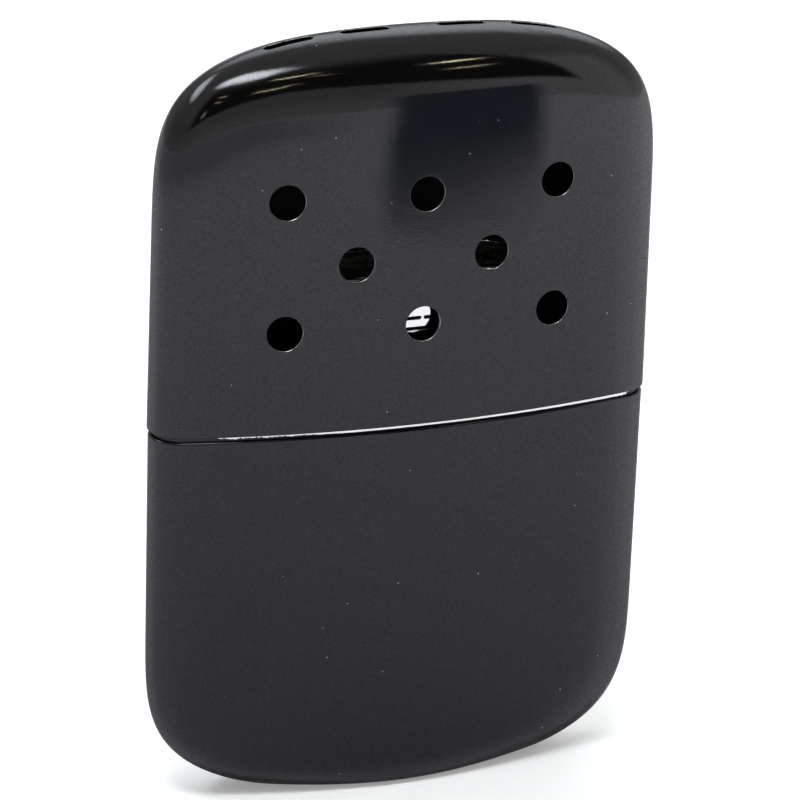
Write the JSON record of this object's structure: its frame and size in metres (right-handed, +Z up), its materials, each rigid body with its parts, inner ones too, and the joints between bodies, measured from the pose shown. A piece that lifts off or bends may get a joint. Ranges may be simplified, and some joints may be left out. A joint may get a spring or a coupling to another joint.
{
  "type": "catalytic hand warmer",
  "caption": "Flat pocket hand warmer: a vented drawn-metal lid that pulls off a fuel tank, over a catalytic burner pushed on the tank's neck.",
  "frame": {"origin": "middle of the flat foot that the tank stands on", "axes": "+Z up to the lid's crown, X across the wide face, the vented front towards -Y"},
  "size_m": [0.067, 0.0146, 0.1003],
  "materials": {
    "black_paint": "satin black paint with a faint orange peel",
    "polished_plate": "polished plate, lightly scuffed by the lid",
    "chrome": "bright chrome plate",
    "bare_steel": "bare stainless sheet and wire",
    "catalyst_fibre": "matted mineral fibre, greyish brown",
    "felt": "off-white wool felt",
    "cotton": "loose cotton packing"
  },
  "bodies": {
    "tank": {"tank_shell": "black_paint", "tank_top": "polished_plate", "filler_neck": "polished_plate", "wick_pad": "felt", "felt_sheet": "felt", "collar_cotton_wad": "cotton", "upper_cotton_wad": "cotton", "middle_cotton_wad": "cotton", "lower_cotton_wad": "cotton", "bottom_cotton_wad": "cotton"},
    "burner": {"burner_housing": "chrome", "burner_socket": "bare_steel", "catalyst_tray": "bare_steel", "catalyst_mat": "catalyst_fibre", "retainer_wire": "bare_steel"},
    "lid": {"lid_shell": "black_paint"}
  },
  "joints": [
    {"name": "lid_pull", "type": "slide", "parent": "tank", "child": "lid", "axis": [0, 0, 1], "range_m": [0, 0.055]},
    {"name": "burner_pull", "type": "slide", "parent": "tank", "child": "burner", "axis": [0, 0, 1], "range_m": [0, 0.022]}
  ]
}
